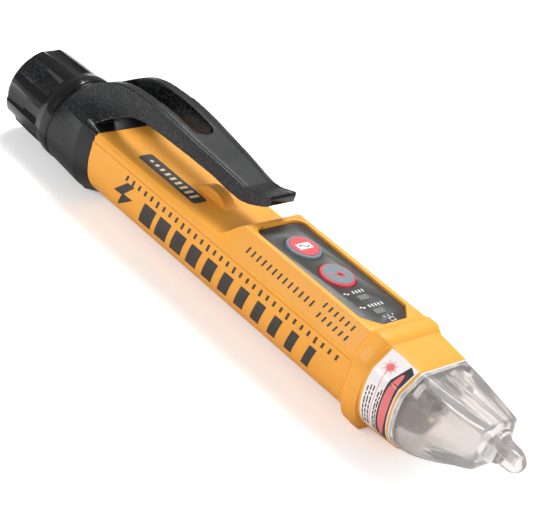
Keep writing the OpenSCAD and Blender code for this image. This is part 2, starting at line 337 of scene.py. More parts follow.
def moulded(name, dark, light, rough, grain=0.25, grain_size=0.35, depth=0.03, shine=0.5,
            painted_glint=None):
    """Moulded plastic or rubber: faint colour drift, spark-eroded grain and uneven gloss.

    grain_size and depth are millimetres; the optional last colour is painted on the grain's peaks as
    painted highlight, lighter specks standing for glints.
    """
    s = Shader(name)
    s.put(Roughness=rough, IOR=1.5, Specular_IOR_Level=shine)
    s.color(s.ramp(s.noise(90, 3), [(0.3, dark), (0.7, light)]))
    s.vary("Roughness", s.noise(220, 4), rough - 0.06, rough + 0.06)
    fine = s.noise(1000 / grain_size, 2, 0.6)
    # painted highlight: where given, the grain's peaks get a lighter colour that stands in for glints
    if painted_glint:
        s.color(s.ramp(fine, [(0.46, dark), (0.66, painted_glint)]))
    s.bump((s.noise(60, 2), 0.05, 0.2), (fine, grain, depth))
    return s.material


def clear(name, tint, rough=0.02, ior=1.47, haze=0.0):
    """Clear plastic; haze is the share that scatters instead of passing through."""
    s = Shader(name)
    s.put(Base_Color=tint, Roughness=rough, IOR=ior, Transmission_Weight=1.0 - haze)
    s.bump((s.noise(70, 2), 0.03, 0.1))
    s.vary("Roughness", s.noise(160, 3), rough, rough + 0.05)
    return s.material


def metal(name, tint, rough):
    s = Shader(name)
    s.put(Metallic=1.0, Base_Color=tint)
    darker = tuple(0.8 * c for c in tint[:3]) + (1,)
    s.color(s.ramp(s.noise(300, 3), [(0.2, darker), (0.8, tint)]))
    s.vary("Roughness", s.noise(900, 3, stretch=(1, 8, 8)), rough, rough + 0.15)
    s.bump((s.noise(1500, 2), 0.1, 0.02))
    return s.material


ORANGE = moulded("orange_moulded", rgb(240, 164, 58), rgb(243, 168, 62), 0.4, 0.12, 0.3, shine=0.35)
# the grained black carries painted highlight: rgb(46, 49, 52) painted on its grain's peaks
BLACK = moulded("black_grained", rgb(6, 6, 7), rgb(15, 16, 17), 0.3, 1.0, 0.6, depth=0.08,
                shine=0.35, painted_glint=rgb(46, 49, 52))
BLACK_SATIN = moulded("black_satin", rgb(17, 18, 19), rgb(23, 24, 25), 0.33, 0.25, 0.25, shine=0.35)
BLACK_GLOSS = moulded("black_gloss", rgb(8, 8, 9), rgb(12, 12, 13), 0.16, 0.1, 0.3)
FILM = moulded("panel_film", rgb(50, 50, 48), rgb(58, 58, 55), 0.42, 0.5, 0.2)
GREY_RUBBER = moulded("grey_rubber", rgb(104, 120, 128), rgb(118, 134, 141), 0.5, 0.3)
RED_RUBBER = moulded("red_rubber", rgb(206, 58, 66), rgb(218, 68, 76), 0.5, 0.3)
RED_INK = moulded("red_ink", rgb(212, 62, 70), rgb(222, 72, 80), 0.45, 0.2)
WHITE_INK = moulded("white_ink", rgb(226, 226, 224), rgb(236, 236, 234), 0.45, 0.2)
GREY_INK = moulded("grey_ink", rgb(104, 120, 128), rgb(116, 131, 138), 0.45, 0.2)
BLACK_INK = moulded("black_ink", rgb(44, 42, 40), rgb(54, 50, 46), 0.5, 0.3)
CREAM_INK = moulded("cream_ink", rgb(240, 208, 160), rgb(246, 216, 170), 0.5, 0.2)
PINK_INK = moulded("pink_ink", rgb(226, 110, 112), rgb(236, 122, 122), 0.35, 0.1)
LABEL = moulded("label_film", rgb(236, 230, 230), rgb(244, 238, 238), 0.3, 0.1, 0.3)
SMOKED = moulded("smoked_window", rgb(112, 114, 114), rgb(126, 127, 126), 0.25, 0.1)
WHITE_PLASTIC = moulded("white_plastic", rgb(228, 228, 224), rgb(240, 240, 236), 0.3, 0.1)
BOARD = moulded("solder_mask", rgb(22, 96, 58), rgb(34, 118, 72), 0.25, 0.2)
COMPONENT = moulded("component_black", rgb(30, 30, 32), rgb(40, 40, 42), 0.4, 0.3)
JACKET = moulded("cell_jacket", rgb(30, 30, 34), rgb(44, 44, 48), 0.25, 0.1)
SEAL = moulded("seal_rubber", rgb(26, 26, 26), rgb(34, 34, 34), 0.6, 0.3)
SILICONE = moulded("silicone", rgb(226, 224, 220), rgb(238, 236, 232), 0.35, 0.1)
CLEAR = clear("clear_polycarbonate", (0.93, 0.9, 0.88, 1.0), 0.13, 1.36, haze=0.16)
LENS = clear("lens", (0.95, 0.97, 1.0, 1.0))
LED_CLEAR = clear("water_clear_led", (0.97, 0.96, 0.95, 1.0), 0.06)
NICKEL = metal("nickel", (0.76, 0.74, 0.7, 1.0), 0.22)
BRASS = metal("brass", (0.8, 0.6, 0.3, 1.0), 0.25)


def finish_piece(obj, body, material_slot, *materials, replaces=()):
    """Gives obj its materials and body, and hides the CAD nodes that it stands in for."""
    obj.data.materials.clear()
    for m in materials:
        obj.data.materials.append(m)
    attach(obj, body)
    if replaces:
        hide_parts(*replaces)
    return obj


# ---------------------------------------------------------------- cross-sections
def belly(side_w, side_z, low_z, n):
    """Lower half-outline from the side line to the keel's centre."""
    points = []
    for i in range(13):
        t = math.radians(68 * i / 12)
        drop = (side_z - low_z) * math.sin(t) ** (2 / n)
        points.append((side_w * math.cos(t) ** (2 / n), side_z - drop))
    return points + [(side_w * 0.38, low_z), (0.0, low_z)]


# Stations of the lower half-outline: side half width, side z, keel z, squareness
SPIGOT_BELLY = (12.05, 18.0, 3.15, 2.4)
BARREL = (13.0, 18.0, 2.2, 2.4)
CREST = (14.2, 19.2, 0.0, 2.4)
LOWER = [(SPIGOT_REAR, (11.2, 18.0, 4.0, 2.4)), (SPIGOT_TAPER, SPIGOT_BELLY),
         (SPIGOT_FRONT, SPIGOT_BELLY), (BARREL_REAR, BARREL),
         (RIDGE[0], BARREL), (RIDGE[0] + 0.1, (13.2, 18.6, 1.5, 2.4)), (RIDGE[1], CREST),
         (RIDGE[2], CREST), (RIDGE[3] - 0.2, (13.9, 19.2, 1.4, 2.4)),
         (RIDGE[3], (13.7, 19.2, 2.4, 2.25)), (NOSE_END, (13.4, 19.2, 3.0, 2.25))]


def lower_ring(x, inset=0.0):
    side_w, side_z, low_z, n = along(LOWER, x)
    half = [(side_w - inset, SPLIT_Z)] + belly(side_w - inset, side_z, low_z + inset, n)
    return [(x, -y, z) for y, z in half] + [(x, y, z) for y, z in half[-2::-1]]


# Stations of the upper half-outline: rim (y, z), upper edge (y, z), lower edge (y, z), and the side's
# half width at the parting line
SPIGOT_TOP = (10.6, 20.5, 11.0, 20.5, 11.8, 19.9, 11.95)
DECK = (11.4, DECK_Z, 11.9, DECK_Z, 12.72, EDGE_Z, 12.86)
PLATFORM = (9.7, PLATFORM_Z, 12.4, 21.1, 12.74, EDGE_Z, 12.86)
RAISED = (9.5, 27.6, 13.3, 22.5, 13.75, 21.7, 14.2)
UPPER = [(SPIGOT_REAR, (9.8, 19.8, 10.2, 19.8, 10.8, 19.5, 11.1)), (SPIGOT_TAPER, SPIGOT_TOP),
         (SPIGOT_FRONT, SPIGOT_TOP), (BARREL_REAR, DECK), (RAMP[0], DECK)]
UPPER_FRONT = [(RAMP[1], PLATFORM), (RIDGE[0] - 0.1, PLATFORM),
               (RIDGE[0] + 0.1, (9.6, 27.1, 12.8, 21.7, 13.05, 21.0, 13.2)),
               (RIDGE[1], RAISED), (RIDGE[2], RAISED),
               (RIDGE[3] - 0.2, (9.0, 27.0, 13.0, 22.4, 13.4, 21.6, 13.9)),
               (RIDGE[3], (8.5, 26.7, 12.8, 22.3, 13.3, 21.5, 13.7)),
               (NOSE_END, (8.05, 25.8, 12.6, 21.9, 13.05, 21.2, 13.4))]


def upper_params(x):
    if x <= RAMP[0]:
        return along(UPPER, x)
    if x < RAMP[1]:
        t = smooth((x - RAMP[0]) / (RAMP[1] - RAMP[0]))
        return tuple(lerp(a, b, t) for a, b in zip(DECK, PLATFORM))
    return along(UPPER_FRONT, x)


def panel_half_width(x, grow=0.0):
    """Half the keypad recess's width at x: rounded behind, cut corners in front."""
    rear, front, w = PANEL_REAR - grow, PANEL_FRONT + grow, PANEL_HALF_W + grow
    if x < rear + PANEL_R:
        return w - PANEL_R + math.sqrt(max(0.0, PANEL_R ** 2 - (rear + PANEL_R - x) ** 2))
    return w - max(0.0, x - (front - PANEL_CUT))


def upper_ring(x, inset=0.0, recess=False):
    rim_y, rim_z, up_y, up_z, low_y, low_z, side = upper_params(x)
    if inset:
        rim_y, up_y, low_y, side = rim_y - inset * 0.6, up_y - inset, low_y - inset, side - inset
        rim_z, up_z, low_z = rim_z - inset, up_z - inset * 0.7, low_z - inset * 0.4
    inner = 5.2
    if PANEL_REAR - 1 < x < PANEL_FRONT + 1:
        inner = min(panel_half_width(x, PANEL_GAP), rim_y - 0.5)
    floor = PANEL_Z - PANEL_T if recess else rim_z
    half = [(side, SPLIT_Z), (low_y, low_z), (up_y, up_z), (rim_y, rim_z), (inner, rim_z),
            (inner, floor), (inner * 0.5, floor), (0.0, floor)]
    if not recess:
        half[5] = (inner * 0.9, rim_z)
    return [(x, -y, z) for y, z in half] + [(x, y, z) for y, z in half[-2::-1]]


def shell(name, outer, inner):
    """Closed moulding between an outer and an inner skin whose rings match one to one."""
    bm = bmesh.new()
    out, ins = [[[bm.verts.new(place(*p)) for p in ring] for ring in rings] for rings in (outer, inner)]
    strips = list(zip(out, out[1:])) + list(zip(ins, ins[1:])) + [(out[0], ins[0]), (out[-1], ins[-1])]
    for a, b in strips:
        for i in range(len(a) - 1):
            bm.faces.new((a[i], a[i + 1], b[i + 1], b[i]))
    for side in (0, -1):
        for k in range(len(out) - 1):
            bm.faces.new((out[k][side], out[k + 1][side], ins[k + 1][side], ins[k][side]))
    return from_bmesh(name, bm)


def stations(*spans):
    """x positions: each span is (from, to, steps), and a span's start isn't repeated."""
    xs = []
    for low, high, steps in spans:
        first = 0 if not xs or xs[-1] < low - 1e-6 else 1
        xs += [lerp(low, high, i / steps) for i in range(first, steps + 1)]
    return xs


SPIGOT_SPANS = ((SPIGOT_REAR, SPIGOT_TAPER, 2), (SPIGOT_TAPER, SPIGOT_FRONT, 1))
NOSE_SPANS = ((RIDGE[0] + 0.1, RIDGE[1], 2), (RIDGE[1], RIDGE[2], 1), (RIDGE[2], RIDGE[3] - 0.2, 2),
              (RIDGE[3], NOSE_END, 3))


def rectangle(x, half_x, half_y):
    return [(x - half_x, -half_y), (x + half_x, -half_y), (x + half_x, half_y), (x - half_x, half_y)]


def cut_key_holes(obj, segments, slack):
    """Holes for the two keys and the two indicators. slack makes the indicator holes smaller."""
    for x in (POWER_X, LASER_X):
        cut(obj, prism("hole", circle(x, 0, BUTTON_HOLE_R, segments), "z", *HOLE_Z))
    half_x, half_y = INDICATOR_HALF
    for x in INDICATOR_X:
        cut(obj, prism("hole", rectangle(x, half_x - slack[0], half_y - slack[1]), "z", *HOLE_Z))


def parting_share(a, b):
    """The parting line's edges are rolled less than the others."""
    return 0.2 if abs(a.z - SPLIT_Z) < 0.01 and abs(b.z - SPLIT_Z) < 0.01 else 1.0


def build_lower_housing():
    xs = stations(*SPIGOT_SPANS, (BARREL_REAR, RIDGE[0], 14), *NOSE_SPANS)
    obj = shell("lower_shell", [lower_ring(x) for x in xs], [lower_ring(x, WALL) for x in xs])
    round_edges(obj, 0.4, fine=parting_share)
    shade(obj)
    return finish_piece(obj, "housing", "housing", ORANGE, replaces=["lower_housing"])


def build_upper_housing():
    recess_rear, recess_front = PANEL_REAR - PANEL_GAP, PANEL_FRONT + PANEL_GAP
    xs = stations(*SPIGOT_SPANS, (BARREL_REAR, RAMP[0], 6), (RAMP[0], PANEL_REAR - 0.14, 12))
    xs_recess = stations((recess_rear, PANEL_REAR + PANEL_R, 10),
                         (PANEL_REAR + PANEL_R, PANEL_FRONT - PANEL_CUT, 6),
                         (PANEL_FRONT - PANEL_CUT, recess_front, 2))
    xs_front = stations((PANEL_FRONT + 0.14, RIDGE[0] - 0.1, 1), *NOSE_SPANS)
    outer = [upper_ring(x) for x in xs] + [upper_ring(x, recess=True) for x in xs_recess]
    outer += [upper_ring(x) for x in xs_front]
    inner = [upper_ring(x, WALL) for x in xs + xs_recess + xs_front]
    obj = shell("upper_shell", outer, inner)
    cut_key_holes(obj, 48, (0.0, 0.0))
    round_edges(obj, 0.4, fine=parting_share)
    shade(obj)
    finish_piece(obj, "housing", "housing", ORANGE, replaces=["upper_housing"])
    profile = [(66.1, 21), (67, 22.3), (68.2, 23.2), (69.8, 23.8), (71.6, 23.95), (73.5, 23.75),
               (75.2, 23.1), (76.6, 22.2), (77.7, 21)]
    stop = prism("clip_stop", profile, "y", -2.15, 2.15)
    round_edges(stop, 0.5, angle=40, segments=4)
    shade(stop)
    finish_piece(stop, "housing", "housing", ORANGE)


# ---------------------------------------------------------------- collar and clip
def section(top_w, top_z, edge_w, edge_z, side_w, side_z, low_z, n=2.4):
    """Closed outline of the barrel's kind: flat top, bevel, side and belly."""
    half = [(0.0, top_z), (top_w, top_z), (edge_w, edge_z)] + belly(side_w, side_z, low_z, n)
    return half + [(-y, z) for y, z in half[-2:0:-1]]


def polar(outline, cz, count):
    """Outline resampled at count even angles about (0, cz)."""
    ring = []
    for k in range(count):
        angle = 2 * math.pi * k / count
        d = Vector((math.cos(angle), math.sin(angle)))
        best = 0.0
        for a, b in zip(outline, outline[1:] + outline[:1]):
            p, e = Vector((a[0], a[1] - cz)), Vector((b[0] - a[0], b[1] - a[1]))
            det = d.x * -e.y + d.y * e.x
            if abs(det) < 1e-9:
                continue
            t = (p.x * -e.y + p.y * e.x) / det
            u = (d.x * p.y - d.y * p.x) / det
            if -1e-6 <= u <= 1 + 1e-6 and t > best:
                best = t
        ring.append((d.x * best, cz + d.y * best))
    return ring


# Stations of the arch that carries the clip: outer edge and inner edge, each (x, z, half width)
ARCH = [((20.9, 18.6, 9.9), (32.8, 17.6, 12.7)), ((20.9, 21.4, 8.5), (33.7, 20.4, 12.2)),
        ((22.8, 24.6, 7.6), (34.7, 22.2, 10.9)), ((26.4, 28.3, 7.3), (36.5, 24.0, 9.4)),
        ((30.7, 31.7, CLIP_HALF_W), (38.7, 25.8, 8.3)), ((34.6, 33.8, CLIP_HALF_W), (41.2, 27.5, 7.6)),
        ((40.0, 35.1, CLIP_HALF_W), (44.2, 28.9, 7.3)),
        ((SEAM_X, CLIP_Z, CLIP_HALF_W), (SEAM_X, 29.7, CLIP_HALF_W))]
# Stations of the springing arm: x, and the depths of its upper and lower faces below CLIP_Z
ARM = [(SEAM_X + 0.05, 0.0, 5.9), (53, 0.1, 5.6), (58, 0.5, 5.5), (65, 1.3, 5.5), (73, 2.0, 5.9),
       (79, 2.7, 6.85), (83, 3.2, 6.95), (86, 2.9, 6.2), (88.6, 2.0, 5.0), (91.2, 1.1, 3.8),
       (91.6, 1.5, 3.3)]
ARM_WIDTH = [(SEAM_X, CLIP_HALF_W), (58, 7.0), (66, 6.6), (73, 6.0), (80, 5.3), (86, 5.1), (91.6, 5.1)]
ARM_TIP = 90.4  # where the arm's end begins to narrow
SLOT = (31.0, 59.3, 4.3, 3.5)  # centres and radii of the slot's two ends


def slot_cutter():
    rear, front, wide, narrow = SLOT
    outline = circle(rear, 0, wide, 16, 90, 180) + circle(front, 0, narrow, 16, -90, 180)
    return prism("slot", outline, "z", 22, 44)


def build_arch():
    rings = []
    for (x1, z1, w1), (x0, z0, w0) in refine(ARCH, 4):
        half = [(lerp(x0, x1, t), lerp(w0, w1, t) - sunk, lerp(z0, z1, t))
                for t, sunk in ((0.0, 0.0), (0.35, 0.35), (0.7, 0.25), (1.0, 0.0))]
        rings.append(half + [(x, -y, z) for x, y, z in half[::-1]])
    return loft("arch", rings)


def seam_block(side, rear, slack):
    """Tongue that keeps the seam closed when the clip springs, or with slack its pocket."""
    y0, y1 = sorted((side * (4.6 - slack), side * (6.4 + slack)))
    front = SEAM_X + 0.6
    return prism("tongue", [(rear, y0), (front, y0), (front, y1), (rear, y1)], "z",
                 CLIP_Z - 5.3 - slack, CLIP_Z - 1.1 + slack)


def build_collar():
    rear, swell = circle(0, CAP_AXIS_Z, 12.3), circle(0, CAP_AXIS_Z, 12.35)
    crease = section(11.6, 22.4, 13.2, 21.2, 13.5, 17, 0.0)
    band = section(12.0, 21.55, 12.82, 20.7, 13.12, 18, 2.08)
    outlines = ((20.3, rear), (21.5, swell), (32.5, crease), (COLLAR_END, band))
    obj = loft("collar_moulding", [[(x, y, z) for y, z in polar(outline, CAP_AXIS_Z, 96)]
                                   for x, outline in outlines])
    join(obj, build_arch())
    cut(obj, slot_cutter())
    cut(obj, prism("mouth", circle(0, CAP_AXIS_Z, 10.6, 64), "x", 10, 27.4))
    narrow = section(10.25, 19.85, 10.85, 19.55, 11.25, 18, 3.95)
    wide = section(11.05, 20.55, 11.85, 19.95, 12.1, 18, 3.1)
    cut(obj, loft("socket", [[(x, y, z) for y, z in outline]
                             for x, outline in ((27.3, narrow), (SPIGOT_TAPER, wide), (45, wide))]))
    for side in (-1, 1):
        cut(obj, seam_block(side, 46.9, 0.2))
    melt(obj, 0.2, 5)
    shade(obj, 60)
    finish_piece(obj, "housing", "black_plastic", BLACK_SATIN, BLACK, replaces=["clip_collar"])
    for face in obj.data.polygons:
        x, y, z = in_mm(face.center)
        flank = abs(face.normal.y) > 0.45 and 21.3 < x < 47.9
        lower_border = max(19, 18.6 + max(0.0, x - 30) * 0.35)
        face.material_index = 1 if flank and z > lower_border else 0
    return obj


def build_clip():
    rings = []
    for i in range(61):
        x = lerp(ARM[0][0], ARM[-1][0], i / 60)
        top, low = along([(a, (b, c)) for a, b, c in ARM], x)
        w = along(ARM_WIDTH, x) - max(0.0, x - ARM_TIP) * 0.8
        z1, z0 = CLIP_Z - top, CLIP_Z - low
        groove = [(w - 0.85, z1), (w - 0.92, z1 - 0.2), (w - 1.04, z1 - 0.2), (w - 1.1, z1)]
        half = [(w, z0), (w, lerp(z0, z1, 0.5)), (w, z1), *groove, (w * 0.6, z1), (w * 0.2, z1)]
        rings.append([(x, y, z) for y, z in half] + [(x, -y, z) for y, z in half[::-1]])
    obj = loft("clip_arm", rings)
    cut(obj, slot_cutter())

    def groove_share(*ends):
        grooved = [0.7 < along(ARM_WIDTH, p.x) - abs(p.y) < 1.2 and p.x < ARM_TIP - 0.1 for p in ends]
        return 0.06 if all(grooved) else 1.0

    round_edges(obj, 0.7, angle=40, segments=4, fine=groove_share)
    join(obj, *[seam_block(side, 47.2, 0.0) for side in (-1, 1)])
    shade(obj, 40)
    finish_piece(obj, "clip", "black_plastic", BLACK_SATIN, BLACK, BLACK_GLOSS, replaces=["pocket_clip"])
    for face in obj.data.polygons:
        x, y, z = in_mm(face.center)
        if x > 89.6:
            face.material_index = 2
        elif abs(face.normal.y) > 0.8:
            face.material_index = 1
    return obj


# ---------------------------------------------------------------- battery cap
CAP_RECESSES = 8


def cap_ring(x, radius, sunk):
    """One ring round the cap. Where sunk, flat-floored grip recesses are let into the radius."""
    half_recess, floor = 2.95, 10.6
    pitch = 360 / CAP_RECESSES
    edge = math.degrees(math.asin(half_recess / 11.9))
    low = math.degrees(math.atan2(half_recess - 0.12, floor))
    ring = []
    for k in range(CAP_RECESSES):
        for a in (-edge, -low, -low / 2, 0, low / 2, low, edge):
            inside = sunk and abs(a) < edge - 0.01
            flat = floor / math.cos(math.radians(a))
            ring.append((pitch * k + a, min(radius, flat) if inside else radius))
        for s in (1, 2, 3, 4):
            ring.append((pitch * k + edge + (pitch - 2 * edge) * s / 5, radius))
    turned = [(math.radians(a), q) for a, q in ring]
    return [(x, q * math.sin(t), CAP_AXIS_Z + q * math.cos(t)) for t, q in turned]


def build_cap():
    plug_r, ring_r, bore_r, post_r = 10.2, 10.52, 8.7, 2.2
    grip = [(0.0, 8.6), (0.0, 9.5), (0.25, 10.5), (1.0, 11.35), (1.6, 11.5), (8, 11.75), (14.6, 11.9)]
    flange = [(14.85, 11.9), (16.2, 12.0), (16.9, 12.35), (17.3, 12.4), (19.5, 12.4), (CAP_LEN, 11.9)]
    plug = [(CAP_LEN, plug_r), (20.8, plug_r), (20.8, 9.45), (22.1, 9.45), (22.1, plug_r)]
    for x in (23.3, 24.5, 25.6):
        plug += [(x, plug_r), (x + 0.1, ring_r), (x + 0.4, ring_r), (x + 0.5, plug_r)]
    hollow = [(26.2, plug_r), (26.2, bore_r), (2.0, bore_r), (2.0, post_r), (22.4, post_r), (22.4, 1.0),
              (18.0, 1.0)]
    rings = [cap_ring(x, r, True) for x, r in grip]
    rings += [cap_ring(x, r, False) for x, r in flange + plug + hollow]
    obj = loft("cap_grip", rings)
    round_edges(obj, 0.14, angle=24, segments=2)
    shade(obj, 32)
    finish_piece(obj, "cap", "black_plastic", BLACK_GLOSS, BLACK, replaces=["battery_cap"])
    for face in obj.data.polygons:
        x, y, z = in_mm(face.center)
        z -= CAP_AXIS_Z
        turn = math.degrees(math.atan2(y, z)) * CAP_RECESSES / 360
        on_floor = x < 14.8 and 10.5 < math.hypot(y, z) < 11.05 and abs(turn - round(turn)) < 0.36
        if on_floor and round(turn) % 2 == 1:
            face.material_index = 1
    return obj


# ---------------------------------------------------------------- clear tip
def rounded_box(half_y, half_z, r, cz, count=12):
    points = []
    for sy, sz, start in ((1, 1, 0), (-1, 1, 90), (-1, -1, 180), (1, -1, 270)):
        points += circle(sy * (half_y - r), cz + sz * (half_z - r), r, count, start, 90)
    return points


def build_tip():
    count, cz = TIP_COUNT, TIP_AXIS_Z
    base = polar(section(7.9, 25.65, 12.85, 21.2, 13.25, 19.3, 3.15, 2.3), cz, count)
    front = polar(rounded_box(6.0, 6.2, 2.4, 18.3), cz, count)
    rings_out, rings_in = [], []
    xs = stations((NOSE_END + 0.4, 153, 3), (153, CONE_END - 0.6, 16))
    for x in xs:
        t = (x - xs[0]) / (CONE_END - xs[0])
        swell = min(1.0, (x - xs[0]) / 3.2)
        ring = []
        for (ay, az), (by, bz) in zip(base, front):
            y, z = lerp(ay, by, t), lerp(az, bz, t)
            length = math.hypot(y, z - cz) or 1
            under = 0.5 - 0.5 * (z - cz) / length
            bulge = (0.35 + 1.0 * under) * math.sin(math.pi * t) ** 0.7 * swell
            y, z = y + y / length * bulge, z + (z - cz) / length * bulge
            side = lerp(13.0, 6.0, t)
            y = math.copysign(min(abs(y), side), y)
            ring.append((x, y, min(z, lerp(25.7, 24.5, t))))
        rings_out.append(ring)
    # the nib: distance past the cone, half width, half height, squareness
    nib = [(0.0, 5.6, 5.7, 3.0), (0.25, 5.2, 5.3, 2.8), (0.3, 4.5, 4.5, 2.0), (1.2, 4.3, 4.4, 2.0),
           (1.6, 3.7, 4.0, 2.0), (2.0, 2.7, 3.8, 2.4), (2.6, 2.1, 3.6, 2.8), (3.2, 1.75, 3.4, 3.2),
           (4.0, 1.55, 3.25, 3.4), (6.2, 1.45, 3.1, 3.4), (7.4, 1.4, 2.65, 3.0), (8.3, 1.2, 1.85, 2.6),
           (8.8, 0.9, 1.1, 2.4), (8.98, 0.5, 0.55, 2.2)]
    for dx, a, b, n in nib:
        ring = []
        for k in range(count):
            angle = 2 * math.pi * k / count
            c, s = math.cos(angle), math.sin(angle)
            ring.append((CONE_END + dx, a * math.copysign(abs(c) ** (2 / n), c),
                         NIB_Z + b * math.copysign(abs(s) ** (2 / n), s)))
        rings_out.append(ring)
    spigot = polar(section(6.8, 23.7, 10.9, 20.2, 11.3, 19.2, 5.2, 2.3), cz, count)
    lip = polar(section(6.8 - 1.2, 22.4, 9.7, 19.6, 10.1, 19.2, 6.4, 2.3), cz, count)
    tail = NOSE_END - 3
    plug = [[(x, y, z) for y, z in spigot] for x in (tail, NOSE_END + 0.2, NOSE_END + 0.39)]
    for x in [tail] + stations((NOSE_END + 0.5, CONE_END - 1.8, 12)):
        t = max(0.0, (x - NOSE_END - 0.5) / (CONE_END - NOSE_END - 2.3))
        ring = []
        for k, ((ay, az), (by, bz)) in enumerate(zip(lip, front)):
            y, z = lerp(ay, by * 0.8, t), lerp(az, lerp(cz, bz, 0.72) + 0.6 * t, t)
            y = math.copysign(min(abs(y), lerp(9.0, 3.9, t)), y)
            angle = 360 * k / count
            rib = 0.35 * math.cos(math.radians((angle - 90) * 9)) if 45 < angle < 135 else 0.0
            length = math.hypot(y, z - cz) or 1
            scale = 1 + rib * (0 if x < NOSE_END else 1) / length
            ring.append((x, y * scale, cz + (z - cz) * scale))
        rings_in.append(ring)
    obj = loft("probe_tip", plug + rings_out)
    mouth = [(x - 1, y, z) for x, y, z in rings_in[0]]
    cut(obj, loft("cavity", [mouth] + rings_in[1:]))
    pocket = [(160, -0.6), (178, -0.6), (178, 0.6), (160, 0.6)]
    cut(obj, prism("pocket", pocket, "z", NIB_Z - 0.9, NIB_Z + 1.3))
    shade(obj, 30)
    return finish_piece(obj, "housing", "clear_plastic", CLEAR, replaces=["clear_tip"])


# ---------------------------------------------------------------- keypad
def lathe(name, x, y, profile, count=64):
    """Turned piece on a vertical axis; profile is (radius, z) from the axis outwards and down."""
    bm = bmesh.new()
    rows = []
    for r, z in profile:
        if r == 0:
            rows.append([bm.verts.new(place(x, y, z))])
        else:
            rows.append([bm.verts.new(place(x + a, y + b, z)) for a, b in circle(0, 0, r, count)])
    for a, b in zip(rows, rows[1:]):
        for i in range(count):
            j = (i + 1) % count
            quad = [a[i % len(a)], a[j % len(a)], b[j % len(b)], b[i % len(b)]]
            bm.faces.new(list(dict.fromkeys(quad)))
    return from_bmesh(name, bm)


def build_button(name, x, body, slot_name, material, node):
    top, r = PANEL_Z + 0.5, BUTTON_R
    foot, plunger = 23.9, 23.3
    profile = [(0, top - 0.02), (r - 0.95, top - 0.02), (r - 0.85, top - 0.1), (r - 0.75, top + 0.06),
               (r - 0.35, top + 0.06), (r - 0.1, top - 0.12), (r, top - 0.4), (r, foot), (1.5, foot),
               (1.5, plunger), (0, plunger)]
    obj = lathe(name, x, 0, profile)
    shade(obj, 40)
    return finish_piece(obj, body, slot_name, material, replaces=[node])


def flat_shape(name, outlines, z, thickness, body, slot_name, material):
    """Printed mark: thin closed plates with the given outlines."""
    bm = bmesh.new()
    for outline in outlines:
        low = [bm.verts.new(place(px, py, z)) for px, py in outline]
        high = [bm.verts.new(place(px, py, z + thickness)) for px, py in outline]
        bm.faces.new(low)
        bm.faces.new(high)
        for i in range(len(outline)):
            j = (i + 1) % len(outline)
            bm.faces.new((low[i], low[j], high[j], high[i]))
    obj = from_bmesh(name, bm)
    return finish_piece(obj, body, slot_name, material)


def stroke(points, width):
    """Outline of a polyline drawn with a pen of the given width."""
    left, right = [], []
    for i, p in enumerate(points):
        a = Vector(points[max(0, i - 1)])
        b = Vector(points[min(len(points) - 1, i + 1)])
        d = (b - a).normalized()
        n = Vector((-d.y, d.x)) * width / 2
        left.append(tuple(Vector(p) + n))
        right.append(tuple(Vector(p) - n))
    return left + right[::-1]


def burst(cx, cy, r0, r1, rays, width):
    """Triangular rays round a point, every second one short."""
    marks = []
    for k in range(rays):
        a = 2 * math.pi * k / rays
        d = Vector((math.cos(a), math.sin(a)))
        n = Vector((-d.y, d.x))
        c = Vector((cx, cy))
        reach = r1 if k % 2 == 0 else lerp(r0, r1, 0.62)
        foot, half = c + d * r0, n * width / 2
        marks.append([tuple(foot + half), tuple(foot - half), tuple(c + d * reach)])
    return marks


def build_keypad():
    rear, front, w = PANEL_REAR, PANEL_FRONT, PANEL_HALF_W
    shoulder, corner = front - PANEL_CUT, w - PANEL_CUT
    outline = [(shoulder, -w), (front, -corner), (front, corner), (shoulder, w)]
    outline += circle(rear + PANEL_R, w - PANEL_R, PANEL_R, 8, 90, 90)
    outline += circle(rear + PANEL_R, PANEL_R - w, PANEL_R, 8, 180, 90)
    obj = prism("keypad_film", outline, "z", PANEL_Z - PANEL_T, PANEL_Z)
    cut_key_holes(obj, 64, (0.03, 0.02))
    round_edges(obj, 0.12, angle=40, segments=2)
    shade(obj, 30)
    finish_piece(obj, "housing", "panel", FILM, replaces=["keypad_panel"])
    build_button("power_key_top", POWER_X, "power_key", "grey_rubber", GREY_RUBBER, "power_button")
    build_button("laser_key_top", LASER_X, "laser_key", "red_rubber", RED_RUBBER, "laser_button")


# ---------------------------------------------------------------- prints on the housing's side
def side_outline(x):
    """The -Y side's outline at x from the rim to the keel, and lengths along it."""
    rim_y, rim_z, up_y, up_z, low_y, low_z, side = upper_params(x)
    side_w, side_z, low, n = along(LOWER, x)
    points = [(0.0, rim_z), (rim_y, rim_z), (up_y, up_z), (low_y, low_z), (side, SPLIT_Z)]
    parting = len(points) - 1
    points += belly(side_w, side_z, low, n)
    lengths = [0.0]
    for (ay, az), (by, bz) in zip(points, points[1:]):
        lengths.append(lengths[-1] + math.hypot(by - ay, bz - az))
    return points, lengths, lengths[parting]


def on_side(x, s, lift):
    """Point lift above the housing, s below the parting line (negative above it), on the -Y side."""
    points, lengths, zero = side_outline(x)
    s = max(0.0, min(lengths[-1] - 1e-6, s + zero))
    i = next(k for k in range(len(points) - 1) if lengths[k + 1] > s or k == len(points) - 2)
    span = lengths[i + 1] - lengths[i] or 1
    t = (s - lengths[i]) / span
    (ay, az), (by, bz) = points[i], points[i + 1]
    ny, nz = -(bz - az) / span, (by - ay) / span
    return x, -(lerp(ay, by, t) + ny * lift), lerp(az, bz, t) + nz * lift


